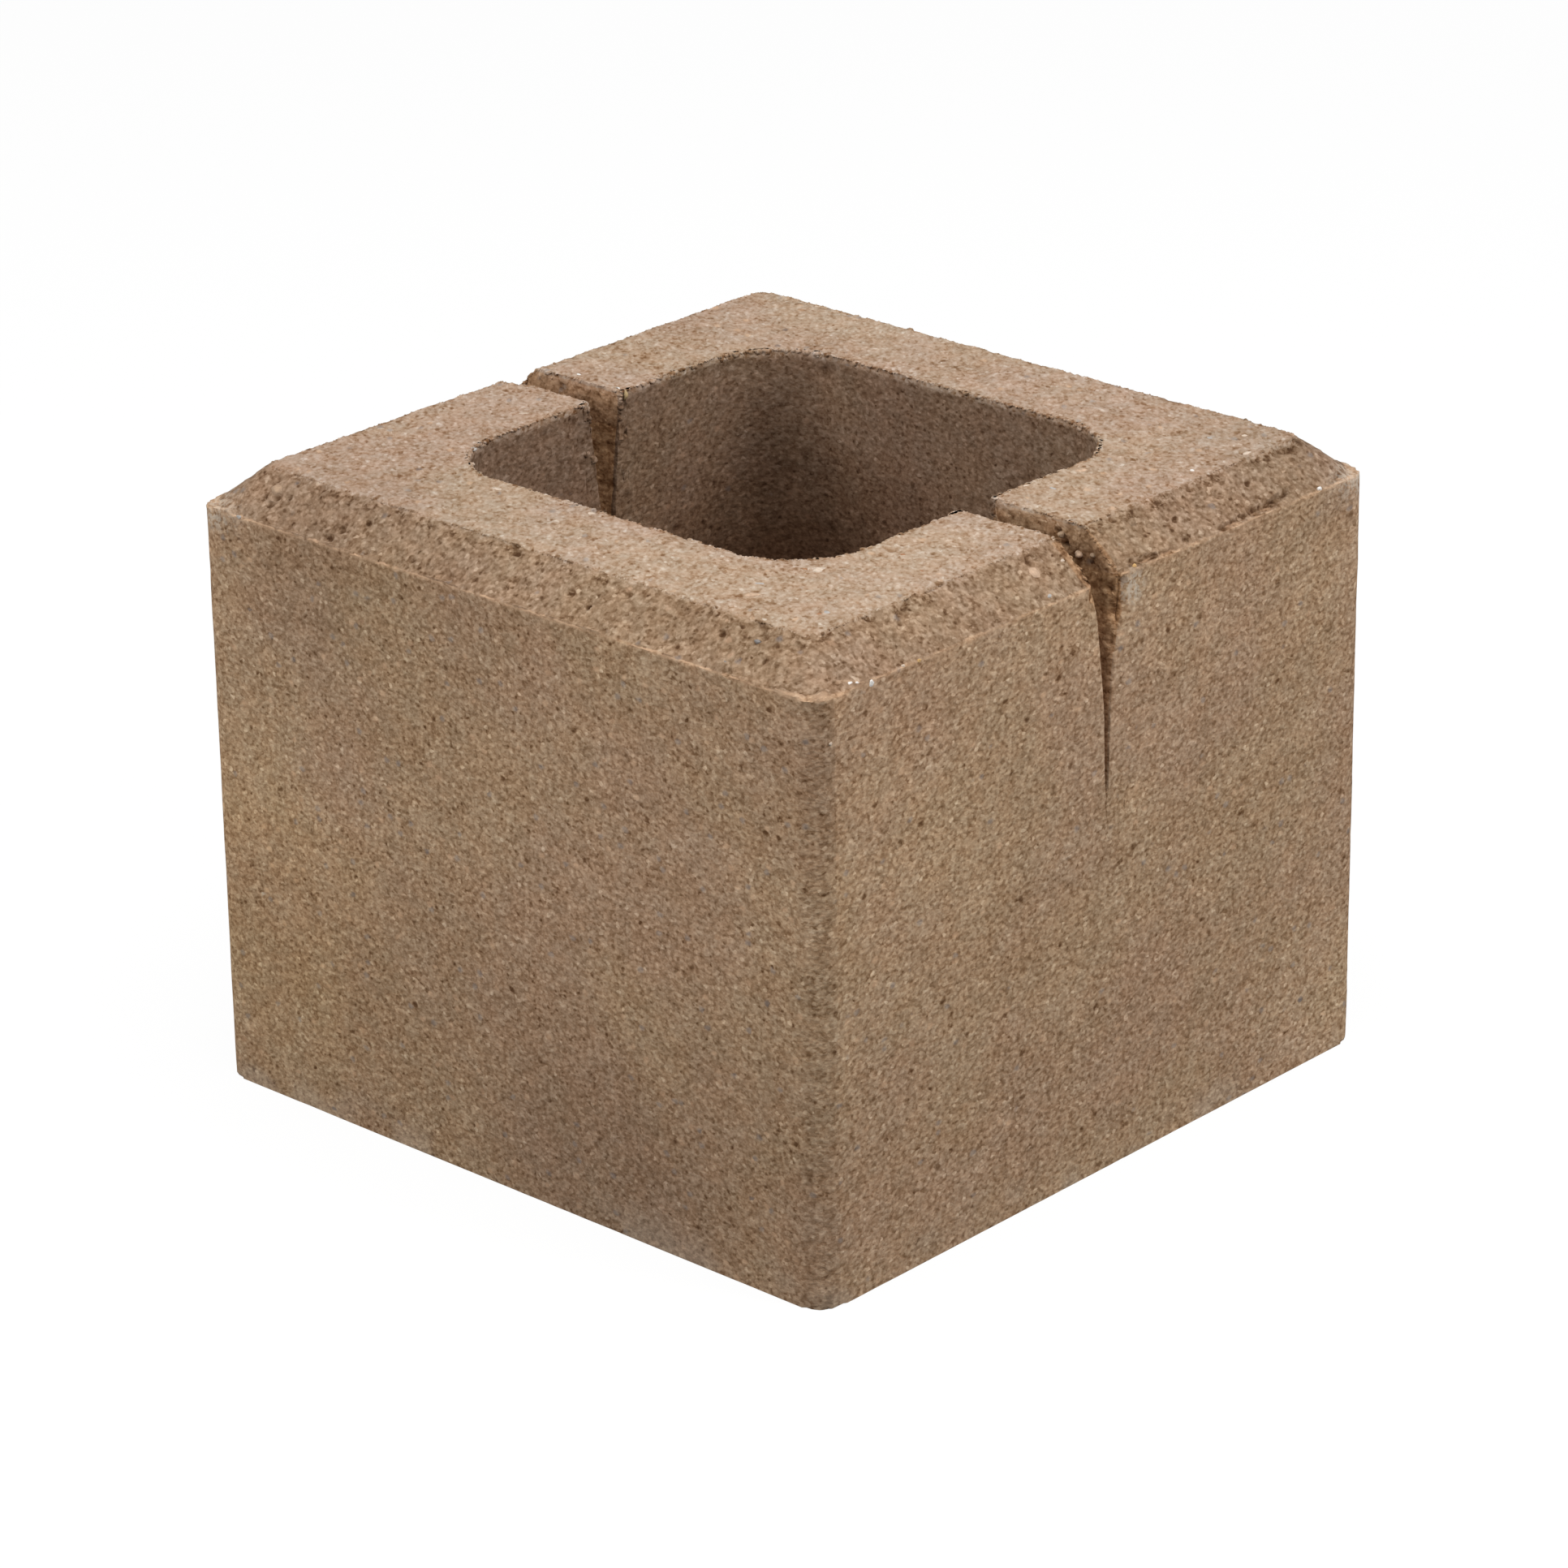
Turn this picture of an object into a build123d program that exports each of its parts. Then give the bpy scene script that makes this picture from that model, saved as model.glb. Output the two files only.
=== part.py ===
"""Fence block: a hollow block of pressed concrete for a fence post or wall.

One casting. The underside stands on Z = 0 with its middle at the origin, X runs
through the two slotted walls and Y through the two plain ones. The top is the
face that the pressing shoe has formed: it carries a chamfer all round, and
because the shoe's corners are rounder than the mould's, a small flat is left at
each corner of the block. The core is drawn upwards, so it narrows towards the
underside. A blade on each side of the core leaves a V slot from the top face
down through the wall, with a thin slit under it.

All sizes are in millimetres.
"""

from build123d import *

import os

# Mould box
width = 250.0
depth = 250.0
height = 200.0
mould_corner = 8.0

# Pressing shoe: chamfer round the top face, with its corner radii at foot and top
chamfer_run = 15.0
chamfer_rise = 12.0
shoe_foot_corner = 16.0
shoe_top_corner = 5.0

# Core: wall thickness at the top face, corner radius there and draft angle
wall = 50.0
core_corner = 28.0
core_draft = 1.0

# Blades that leave the slots, each a wedge above a thin keel: widths at the
# outer and the core end, and the radius of the lip at the outer face
wedge_depth = 52.0
keel_depth = 26.0
top_throat = 12.0
top_core_mouth = 15.0
top_lip = 3.0
keel_width = 2.0
keel_lip = 0.6
tip_width = 0.8
tip_lip = 0.3
blade_overrun = 6.0

core_width = width - 2 * wall
core_depth = depth - 2 * wall
shoulder = height - chamfer_rise


def blade_section(level, throat, core_mouth, lip_radius):
    """Plan section of the blade at a level: wide at the core, narrow at the
    throat, and rounded out to the outer face by the lip radius."""
    inner = core_width / 2 - blade_overrun
    outer = width / 2 + blade_overrun
    throat_end = width / 2 - lip_radius
    with BuildSketch(Plane.XY.offset(level)) as section:
        with BuildLine():
            flank = Line((inner, core_mouth / 2), (throat_end, throat / 2))
            lip = JernArc(flank @ 1, (1, 0), lip_radius, 90)
            side = Line(lip @ 1, (outer, (lip @ 1).Y))
            mirror(about=Plane.XZ)
            Line(side @ 1, (outer, -(side @ 1).Y))
            Line(flank @ 0, (inner, -core_mouth / 2))
        make_face()
    return section.sketch


knee = height - wedge_depth
tip = knee - keel_depth
top_section = blade_section(height, top_throat, top_core_mouth, top_lip)
knee_section = blade_section(knee, keel_width, keel_width, keel_lip)
tip_section = blade_section(tip, tip_width, tip_width, tip_lip)

with BuildPart() as blade:
    add([top_section, knee_section, tip_section])
    loft(ruled=True)

with BuildPart() as block:
    # Mould box: four plain sides with rounded corners
    with BuildSketch():
        RectangleRounded(width, depth, mould_corner)
    extrude(amount=shoulder)

    # Head formed by the shoe: flush with the sides, rounder at the corners
    with BuildSketch(Plane.XY.offset(shoulder)):
        RectangleRounded(width, depth, shoe_foot_corner)
    with BuildSketch(Plane.XY.offset(height)):
        head_width = width - 2 * chamfer_run
        head_depth = depth - 2 * chamfer_run
        RectangleRounded(head_width, head_depth, shoe_top_corner)
    loft(ruled=True)

    # Core, drawn upwards
    with BuildSketch(Plane.XY.offset(height)):
        RectangleRounded(core_width, core_depth, core_corner)
    extrude(amount=-height, taper=core_draft, mode=Mode.SUBTRACT)

    # V slots in the two opposite walls
    add(blade.part, mode=Mode.SUBTRACT)
    add(blade.part.mirror(Plane.YZ), mode=Mode.SUBTRACT)

block.part.label = "block"
os.makedirs("parts", exist_ok=True)
export_step(block.part, "parts/block.step")
print("block: volume", round(block.part.volume), "solids", len(block.part.solids()))
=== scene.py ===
"""The looks of a fence block of pressed concrete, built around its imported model.

The block is one casting, and its skin is one piece. The skin starts from the
solid's own mesh and gets the relief that the making leaves: grain and pores on
the moulded sides, coarse lumps and pits where the shoe pressed the top, crumbled
rims round the core and the slots, and a thin fin of squeezed-out fines along the
foot of the chamfer. Loose crumbs and the stones that show are two more pieces.
Lengths are in metres, but in millimetres in the lists of scars, stones and
patches.
"""

from __future__ import annotations

import logging
import math
import random
from collections.abc import Callable
from dataclasses import dataclass, field
from enum import Enum
from functools import cached_property

import bmesh
import bpy
import numpy as np
from mathutils import Matrix, Vector, noise


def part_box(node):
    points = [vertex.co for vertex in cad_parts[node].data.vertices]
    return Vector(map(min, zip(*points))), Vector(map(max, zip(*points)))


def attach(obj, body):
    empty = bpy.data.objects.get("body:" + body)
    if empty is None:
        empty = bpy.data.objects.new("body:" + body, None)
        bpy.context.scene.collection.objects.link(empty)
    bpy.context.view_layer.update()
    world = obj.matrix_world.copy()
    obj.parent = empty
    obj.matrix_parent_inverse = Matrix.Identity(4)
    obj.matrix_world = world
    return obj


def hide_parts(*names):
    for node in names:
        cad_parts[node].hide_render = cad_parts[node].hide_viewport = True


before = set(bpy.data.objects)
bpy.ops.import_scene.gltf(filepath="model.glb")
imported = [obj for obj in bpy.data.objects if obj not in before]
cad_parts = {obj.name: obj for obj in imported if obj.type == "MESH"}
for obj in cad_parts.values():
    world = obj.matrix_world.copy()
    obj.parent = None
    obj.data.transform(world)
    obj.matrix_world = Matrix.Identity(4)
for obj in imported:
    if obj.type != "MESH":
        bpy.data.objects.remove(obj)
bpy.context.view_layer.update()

MM = 0.001
LOG = logging.getLogger("fence_block")


class Zone(Enum):
    """The kinds of surface that the making leaves on the block."""

    MOULD_SIDE = 0
    CHAMFER = 1
    TOP = 2
    CORE_WALL = 3
    SLOT_FLANK = 4
    UNDERSIDE = 5


@dataclass(frozen=True)
class Relief:
    """How rough one zone is. Sizes are across one lump, grain, pit or crumb."""

    lump_size: float
    lump_height: float
    grain_size: float
    grain_height: float
    pit_size: float
    pit_depth: float
    pit_share: float
    crumb_share: float = 0.0
    crumb_size: float = 4.6 * MM
    crumb_height: float = 1.3 * MM
    crumb_reach: float = 0.30
    cell_reach: float = 0.42
    pit_warp: float = 0.18

    def height(self, point: Vector) -> float:
        """Works out how far one point stands out of its zone's plain surface.

        Args:
            point: The point on the plain surface.

        Returns:
            The height, negative into the block.
        """
        lump = noise.fractal(point / self.lump_size, 1.0, 2.0, 3) * self.lump_height
        near, centres = noise.voronoi(point / self.grain_size)
        own = 0.5 + 0.5 * noise.cell(centres[0] * 5.0)
        grain = (self.cell_reach - near[0]) * 2.0 * own * self.grain_height
        bend = noise.noise_vector(point / (0.5 * self.pit_size))
        warped = point + bend * (self.pit_warp * self.pit_size)
        pit_near, pit_centres = noise.voronoi(warped / self.pit_size)
        depth = 0.0
        if abs(noise.cell(pit_centres[0] * 7.0)) < self.pit_share:
            depth = self.pit_depth * max(0.0, 1.0 - (pit_near[0] / self.cell_reach) ** 2)
        return lump + grain - depth + self.crumb(point)

    def crumb(self, point: Vector) -> float:
        """Works out how far a loose crumb stands up at a point, if there is one."""
        if not self.crumb_share:
            return 0.0
        near, centres = noise.voronoi(point / self.crumb_size)
        if abs(noise.cell(centres[0] * 3.0)) > self.crumb_share or near[0] > self.crumb_reach:
            return 0.0
        return self.crumb_height * math.sqrt(1.0 - (near[0] / self.crumb_reach) ** 2)


RELIEFS = {
    Zone.MOULD_SIDE: Relief(24 * MM, 0.16 * MM, 2.8 * MM, 0.10 * MM, 7.0 * MM, 0.5 * MM, 0.06),
    Zone.CHAMFER: Relief(9 * MM, 0.48 * MM, 2.6 * MM, 0.26 * MM, 4.0 * MM, 1.2 * MM, 0.08, 0.03),
    Zone.TOP: Relief(11 * MM, 0.40 * MM, 2.6 * MM, 0.28 * MM, 4.0 * MM, 0.8 * MM, 0.06),
    Zone.CORE_WALL: Relief(20 * MM, 0.22 * MM, 3.0 * MM, 0.20 * MM, 6.0 * MM, 0.8 * MM, 0.08),
    Zone.SLOT_FLANK: Relief(7 * MM, 0.50 * MM, 3.0 * MM, 0.50 * MM, 5.0 * MM, 1.1 * MM, 0.16, 0.16),
    Zone.UNDERSIDE: Relief(30 * MM, 0.08 * MM, 3.0 * MM, 0.08 * MM, 7.0 * MM, 0.5 * MM, 0.08),
}
# Painted shade: a point attribute from 0 to 1 of how low each point lies in a pit, crevice or scar; it
# darkens the concrete's colour there.
HOLLOW_SHADE = "hollow_shade"
DEEP_HOLLOW_SHADE = 1.2 * MM
OWN_TONE = "own_tone"
OWN_TINT = "own_tint"
PALE_GRAVEL = "pale gravel"
SLATE_GRAVEL = "slate gravel"
PEACH_GRAVEL = "peach gravel"


@dataclass(frozen=True)
class Scar:
    """A pit, a crevice or a worn corner that the photograph shows, in millimetres."""

    start: tuple[float, float, float]
    width: float
    depth: float
    end: tuple[float, float, float] | None = None
    ragged: float = 0.5

    def sink(self, co: np.ndarray) -> np.ndarray:
        """Works out how deep the scar is at each point.

        Args:
            co: The mesh's points.

        Returns:
            The depth for each point, in metres.
        """
        start = np.array(self.start) * MM
        along = np.array(self.end or self.start) * MM - start
        length = max(float(along @ along), 1e-12)
        share = np.clip((co - start) @ along / length, 0.0, 1.0)
        away = np.linalg.norm(co - start - share[:, None] * along, axis=1) / (self.width * MM)
        deep = np.zeros(len(co))
        for i in np.flatnonzero(away < 1.0 + self.ragged):
            rough = noise.noise(Vector(co[i]) / (2.2 * MM)) * self.ragged
            deep[i] = max(0.0, 1.0 - (away[i] + rough) ** 2)
        return deep * self.depth * MM


SCARS = (
    Scar((-96.8, -117.1, 194.3), 2.0, 1.6),
    Scar((-98.1, -119.3, 192.5), 1.5, 1.2),
    Scar((-92.6, -116.5, 194.8), 1.3, 1.0),
    Scar((-102.0, -118.5, 193.0), 1.3, 0.9),
    Scar((-67.0, -119.8, 192.1), 1.6, 1.3),
    Scar((-69.2, -122.9, 189.7), 1.7, 1.3),
    Scar((-53.1, -123.5, 189.2), 1.4, 1.1),
    Scar((-50.4, -122.5, 190.0), 1.2, 0.9),
    Scar((92.0, -110.8, 199.3), 1.2, 0.7, (96.1, -113.4, 197.3)),
    Scar((96.1, -113.4, 197.3), 1.0, 0.6, (93.0, -116.0, 195.2)),
    Scar((112.2, -105.0, 198.8), 1.5, 0.8, (108.0, -109.5, 199.2)),
    Scar((111.0, -70.5, 199.2), 1.3, 0.8, (113.0, -76.0, 197.6)),
    Scar((113.5, -77.0, 197.2), 1.0, 0.7, (116.4, -79.7, 194.9)),
    Scar((109.8, -64.4, 199.8), 1.4, 0.7, (110.5, -56.0, 199.6)),
    Scar((123.0, 13.6, 189.6), 1.3, 1.3, (123.6, 24.0, 189.1), 0.9),
    Scar((123.6, 24.0, 189.1), 1.0, 1.0, (124.2, 31.0, 188.6), 0.9),
    Scar((124.0, 55.0, 188.9), 1.1, 1.1, (123.4, 66.5, 189.2), 0.9),
    Scar((123.2, 69.5, 189.4), 1.5, 1.6, (122.8, 80.8, 189.7), 0.7),
    Scar((122.8, 80.8, 189.7), 1.3, 1.5, (122.0, 87.5, 190.4), 0.7),
    Scar((116.1, 76.8, 195.1), 1.5, 1.1),
    Scar((115.4, -1.7, 195.7), 2.0, 1.2),
    Scar((111.5, 97.5, 198.8), 1.5, 1.0, (113.0, 103.0, 197.6)),
    Scar((119.0, -4.9, 194.0), 5.0, 0.5, (125.0, -4.4, 184.0), 0.1),
    Scar((123.0, -4.9, 190.0), 4.0, 0.7, (125.0, -4.4, 186.0), 0.1),
    Scar((124.4, 6.8, 190.5), 3.4, 1.5, (124.4, 5.6, 177.0), 0.12),
    Scar((124.6, 5.2, 177.0), 2.8, 1.0, (124.8, 3.2, 167.0), 0.12),
    Scar((100.7, 7.1, 196.2), 1.2, 1.6),
    Scar((104.1, 7.1, 192.5), 1.5, 1.9),
    Scar((107.5, 7.1, 190.0), 1.3, 1.7),
    Scar((110.9, 7.1, 185.3), 1.2, 1.6, (112.7, 7.1, 183.5)),
    Scar((-118.0, 5.0, 194.0), 5.0, 1.5, (-125.0, 4.6, 188.0), 0.5),
    Scar((-112.0, -5.4, 199.0), 4.0, 1.2, (-104.0, -5.6, 200.0), 0.5),
)


@dataclass(frozen=True)
class SlotStretch:
    """Widens a strip along the middle, so that the skin can follow thin slots.

    The strip is stretched sideways before the skin is made and squeezed back
    after, and what lies beside it is only moved.
    """

    half_width: float = 12 * MM
    factor: float = 3.5
    still_half: float = 8.5 * MM
    set_off: float = 1.1 * MM

    def cut(self, bm: bmesh.types.BMesh) -> None:
        """Cuts the mesh along both sides of the strip, so that stretching is exact.

        Args:
            bm: The mesh, changed in place.
        """
        for side in (-1, 1):
            bmesh.ops.bisect_plane(
                bm,
                geom=bm.verts[:] + bm.edges[:] + bm.faces[:],
                dist=0.001 * MM,
                plane_co=(0, side * self.half_width, 0),
                plane_no=(0, 1, 0),
            )

    def widen(self, y: np.ndarray) -> np.ndarray:
        """Stretches the strip."""
        within = np.clip(y, -self.half_width, self.half_width)
        return y + within * (self.factor - 1)

    def narrow(self, y: np.ndarray) -> np.ndarray:
        """Squeezes the strip back."""
        edge = self.half_width * self.factor
        within = np.clip(y, -edge, edge)
        return y - within * (1 - 1 / self.factor)

    def shift(self, co: np.ndarray) -> np.ndarray:
        """Sets the right-hand slot off the middle, as its blade stood.

        Args:
            co: The skin's points.

        Returns:
            The points with the strip round that slot moved.
        """
        fade = (self.half_width - np.abs(co[:, 1])) / (self.half_width - self.still_half)
        moved = co.copy()
        moved[:, 1] += np.where(co[:, 0] > 0, self.set_off, 0.0) * np.clip(fade, 0, 1)
        return moved


@dataclass
class BlockBody:
    """The whole block: skin, relief and the measures that its finish needs."""

    node: str = "block"
    chamfer_rise: float = 12 * MM
    chamfer_run: float = 15 * MM
    wall: float = 50 * MM
    top_corner: float = 5 * MM
    core_corner: float = 28 * MM
    slot_half_width: float = 9.5 * MM
    slot_depth: float = 80 * MM
    voxel: float = 1.0 * MM
    triangle_budget: int = 194_000
    skin_inset: float = 0.05 * MM
    rim_wear: float = 1.7 * MM
    rim_share: float = 0.22
    wear_coarse: float = 5.5 * MM
    wear_fine: float = 1.7 * MM
    wear_fade: float = 30 * MM
    foot_calm: float = 0.35
    left_calm: float = 0.5
    shallow: float = 0.4 * MM
    top_edge_reach: float = 4.0 * MM
    top_edge_wear: float = 0.30 * MM
    fin_height: float = 0.6 * MM
    fin_thickness: float = 0.9 * MM
    top_calm: float = 0.12
    crisp_angle: float = math.radians(40)
    fin_turn_y: tuple[float, ...] = (-117.5 * MM, -112 * MM, -111 * MM, -102.5 * MM)
    fin_turn_rise: tuple[float, ...] = (0.1 * MM, 2.1 * MM, 2.1 * MM, 0.0)
    fin_turn_reach: float = 3.5 * MM
    foot_corner: float = 16 * MM
    mould_corner: float = 8 * MM
    stretch: SlotStretch = SlotStretch()
    low: Vector = field(init=False)
    high: Vector = field(init=False)
    rims: list[tuple[Vector, Vector]] = field(init=False, default_factory=list)
    flanks: list[tuple[Vector, Vector]] = field(init=False, default_factory=list)

    def __post_init__(self) -> None:
        """Reads the block's box from the frame."""
        self.low, self.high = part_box(self.node)

    @property
    def shoulder(self) -> float:
        """Height of the chamfer's foot."""
        return self.high.z - self.chamfer_rise

    @property
    def top_half(self) -> float:
        """Half the width of the flat top."""
        return self.high.x - self.chamfer_run

    @property
    def core_half(self) -> float:
        """Half the core's width at the top."""
        return self.high.x - self.wall

    def build(self) -> bpy.types.Object:
        """Makes the dressed block.

        Returns:
            The block's object, with its place in its mesh.
        """
        skin = self.dense_skin()
        self.press_relief(skin)
        thinned = self.thin_out(skin)
        thinned.polygons.foreach_set("use_smooth", [True] * len(thinned.polygons))
        thinned.set_sharp_from_angle(angle=self.crisp_angle)
        return placed("fence_block", thinned)

    def dense_skin(self) -> bpy.types.Mesh:
        """Covers a merged copy of the solid's mesh with even small faces.

        Returns:
            The dense mesh.
        """
        bm = bmesh.new()
        bm.from_mesh(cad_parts[self.node].data)
        bmesh.ops.remove_doubles(bm, verts=bm.verts, dist=0.01 * MM)
        self.stretch.cut(bm)
        merged = to_mesh(bm, "block_merged")
        remap_y(merged, self.stretch.widen)
        holder = placed("block_skin", merged)
        remesh = holder.modifiers.new("Even skin", "REMESH")
        remesh.mode = "VOXEL"
        remesh.voxel_size = self.voxel
        dense = baked(holder, "block_dense")
        remap_y(dense, self.stretch.narrow)
        return dense

    def thin_out(self, mesh: bpy.types.Mesh) -> bpy.types.Mesh:
        """Takes triangles out where the surface is smooth.

        Args:
            mesh: The dense mesh with its relief.

        Returns:
            The mesh within the triangle budget.
        """
        holder = placed("block_thinning", mesh)
        co = read_vectors(mesh.vertices, "co")
        x, y, z = np.abs(co[:, 0]), np.abs(co[:, 1]), co[:, 2]
        aside = np.maximum(x, y)
        slotted = (y < self.slot_half_width) & (x > self.core_half - 3 * MM)
        slotted &= z > self.high.z - self.slot_depth
        smooth = (z < self.shoulder - 1.5 * MM) & ~slotted
        smooth |= (aside < self.core_half + 1.0 * MM) & (z < self.high.z - 5 * MM)
        open_top = (z > self.high.z - 3 * MM) & (aside > self.core_half + 4 * MM)
        open_top &= (aside < self.top_half - 4 * MM) & ~slotted
        calm = holder.vertex_groups.new(name="calm")
        calm.add(np.flatnonzero(smooth).tolist(), 1.0, "REPLACE")
        calm.add(np.flatnonzero(open_top).tolist(), self.top_calm, "REPLACE")
        triangles = sum(len(face.vertices) - 2 for face in mesh.polygons)
        decimate = holder.modifiers.new("Thin out", "DECIMATE")
        decimate.ratio = min(1.0, self.triangle_budget / triangles)
        decimate.vertex_group = calm.name
        decimate.vertex_group_factor = 1.0
        LOG.info("skin of %d triangles, thinned to %.2f", triangles, decimate.ratio)
        return baked(holder, "fence_block")

    def zones(self, co: np.ndarray, normals: np.ndarray) -> np.ndarray:
        """Sorts points into zones by where they are and which way they face.

        Args:
            co: Points, one row each.
            normals: Their normals.

        Returns:
            The zone's number for each point.
        """
        x, y, z = np.abs(co[:, 0]), np.abs(co[:, 1]), co[:, 2]
        nz = normals[:, 2]
        inside = np.maximum(x, y) < self.core_half + 1.5 * MM
        in_slot = (y < self.slot_half_width) & (x > self.core_half - 1.5 * MM)
        in_slot &= (x < self.high.x - 1.5 * MM) & (z > self.high.z - self.slot_depth)
        zone = np.full(len(co), Zone.MOULD_SIDE.value)
        zone[inside & (np.abs(nz) < 0.7)] = Zone.CORE_WALL.value
        zone[in_slot & (np.abs(nz) < 0.7)] = Zone.SLOT_FLANK.value
        zone[nz < -0.7] = Zone.UNDERSIDE.value
        upper = z > self.shoulder - 0.8 * MM
        zone[upper & (nz > 0.25) & ~inside] = Zone.CHAMFER.value
        zone[(z > self.high.z - 2.0 * MM) & (nz > 0.90)] = Zone.TOP.value
        return zone

    def press_relief(self, mesh: bpy.types.Mesh) -> None:
        """Moves the dense mesh's points into grain, pits, worn rims and the fin, and stores how low
        each point lies, for painted shade in the hollows.

        Args:
            mesh: The dense mesh, changed in place.
        """
        co = self.stretch.shift(read_vectors(mesh.vertices, "co"))
        normals = read_vectors(mesh.vertex_normals, "vector")
        zone = self.zones(co, normals)
        height = np.zeros(len(co))
        for kind, relief in RELIEFS.items():
            for i in np.flatnonzero(zone == kind.value):
                height[i] = relief.height(Vector(co[i]))
        for scar in SCARS:
            height -= scar.sink(co)
        deep = np.clip(-height - self.shallow, 0.0, None) * 0.8
        links = Neighbours(mesh, len(co))
        edges = self.edge_share(links, co, normals)
        height -= self.rim_wear * self.wear(edges, co)
        height += self.fin_height * self.fin(co)
        height -= self.top_edge_wear * self.rounding(co)
        moved = co + normals * height[:, None]
        moved[:, 2] = np.maximum(moved[:, 2], self.low.z)
        inset = np.full(3, self.skin_inset)
        moved = np.clip(moved, np.array(self.low) + inset * (1, 1, 0), np.array(self.high) - inset)
        # Painted shade in the hollows: points below their neighbours or deep in pits get a value that
        # darkens their colour.
        shaded_low_spot = np.clip(links.average(height) - height, 0.0, None) + deep
        hollow_shade = mesh.attributes.new(HOLLOW_SHADE, "FLOAT", "POINT")
        hollow_shade.data.foreach_set("value", np.clip(shaded_low_spot / DEEP_HOLLOW_SHADE, 0, 1).astype(np.float32))
        mesh.vertices.foreach_set("co", moved.astype(np.float32).ravel())
        mesh.update()
        upper = co[:, 2] > self.shoulder + 2 * MM
        sharp = (edges > self.rim_share) & upper
        self.rims = [(Vector(moved[i]), Vector(normals[i])) for i in np.flatnonzero(sharp)]
        flank = (zone == Zone.SLOT_FLANK.value) & (co[:, 2] > self.high.z - 22 * MM)
        self.flanks = [(Vector(moved[i]), Vector(normals[i])) for i in np.flatnonzero(flank)]

    def rounding(self, co: np.ndarray) -> np.ndarray:
        """Says how far the top's outer edge is rubbed off at each point, from 0 to about 1.

        Args:
            co: The mesh's points.

        Returns:
            The share of the top edge's wear for each point.
        """
        away = np.hypot(ring_distance(co, self.top_half, self.top_corner), co[:, 2] - self.high.z)
        rubbed = np.zeros(len(co))
        for i in np.flatnonzero(away < self.top_edge_reach):
            uneven = 0.75 + 0.9 * noise.noise(Vector(co[i]) / (9 * MM))
            rubbed[i] = (1.0 - (away[i] / self.top_edge_reach) ** 2) * max(0.1, uneven)
        return rubbed

    def edge_share(self, links: Neighbours, co: np.ndarray, normals: np.ndarray) -> np.ndarray:
        """Says how near each point is to an outward edge, from 0 to 1.

        Args:
            links: The dense mesh's neighbours.
            co: Its points.
            normals: Their normals.

        Returns:
            The share for each point.
        """
        bend = np.stack([links.average(co[:, i]) for i in range(3)], 1) - co
        convex = np.clip(-(bend * normals).sum(1) / self.voxel, 0, 1)
        for _ in range(2):
            convex = 0.5 * convex + 0.5 * links.average(convex)
        return np.clip(convex * 5.0, 0, 1)

    def wear(self, share: np.ndarray, co: np.ndarray) -> np.ndarray:
        """Says how far each point is worn back, from 0 to about 1.

        Args:
            share: How near each point is to an edge.
            co: The dense mesh's points.

        Returns:
            The share of the rim wear for each point.
        """
        high = np.clip((co[:, 2] - self.shoulder + self.wear_fade) / self.wear_fade, 0.0, 1.0)
        calm = np.where(co[:, 2] < self.shoulder + 2 * MM, self.foot_calm, 1.0)
        calm *= np.where(co[:, 0] < 4 * MM - self.top_half, self.left_calm, 1.0)
        rag = np.zeros(len(co))
        for i in np.flatnonzero(share > 0.02):
            p = Vector(co[i])
            coarse = noise.noise(p / self.wear_coarse)
            fine = noise.noise(p / self.wear_fine)
            rag[i] = 0.02 + 0.9 * coarse + 1.3 * fine
        return share * np.clip(rag, -0.30, 1.4) * calm * (0.3 + 0.7 * high)

    def fin(self, co: np.ndarray) -> np.ndarray:
        """Says how far the fin of fines stands out at each point, from 0 to 1.

        Args:
            co: The mesh's points.

        Returns:
            The share of the fin's height for each point.
        """
        climb = np.interp(co[:, 1], self.fin_turn_y, self.fin_turn_rise)
        level = self.shoulder + np.where(co[:, 0] > self.high.x - self.fin_turn_reach, climb, 0.0)
        near = np.abs(co[:, 2] - level) < self.fin_thickness
        outer = self.high.x - np.maximum(np.abs(co[:, 0]), np.abs(co[:, 1])) < 3 * MM
        standing = np.zeros(len(co))
        for i in np.flatnonzero(near & outer):
            broken = noise.noise(Vector(co[i]) / (11 * MM)) * 1.6 + 0.45
            front = 1.0 if co[i][1] < -120 * MM else 0.5
            standing[i] = min(max(broken, 0.0), 1.0) * front
        return standing


class Neighbours:
    """The edges of a mesh, for averages over each point's neighbours."""

    def __init__(self, mesh: bpy.types.Mesh, points: int) -> None:
        """Reads the edges.

        Args:
            mesh: The mesh.
            points: How many points it has.
        """
        pairs = np.empty(len(mesh.edges) * 2, np.int32)
        mesh.edges.foreach_get("vertices", pairs)
        self.first, self.second = pairs[0::2], pairs[1::2]
        self.points = points
        self.count = np.bincount(pairs, minlength=points)

    def average(self, values: np.ndarray) -> np.ndarray:
        """Averages a value over each point's neighbours.

        Args:
            values: One value for each point.

        Returns:
            One average for each point.
        """
        total = np.bincount(self.first, values[self.second], self.points)
        total += np.bincount(self.second, values[self.first], self.points)
        return total / self.count


def ring_distance(co: np.ndarray, half: float, corner: float) -> np.ndarray:
    """Measures how far each point is outside a square with round corners, seen from above.

    Args:
        co: The points.
        half: Half the square's width.
        corner: Its corners' radius.

    Returns:
        The distance for each point, negative inside.
    """
    past = np.abs(co[:, :2]) - (half - corner)
    outside = np.hypot(*np.maximum(past, 0.0).T)
    return outside + np.minimum(past.max(1), 0.0) - corner


def read_vectors(source: bpy.types.bpy_prop_collection, name: str) -> np.ndarray:
    """Reads a vector from each item of a mesh's collection, one row each."""
    values = np.empty(len(source) * 3, np.float32)
    source.foreach_get(name, values)
    return values.reshape(-1, 3).astype(float)


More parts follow.
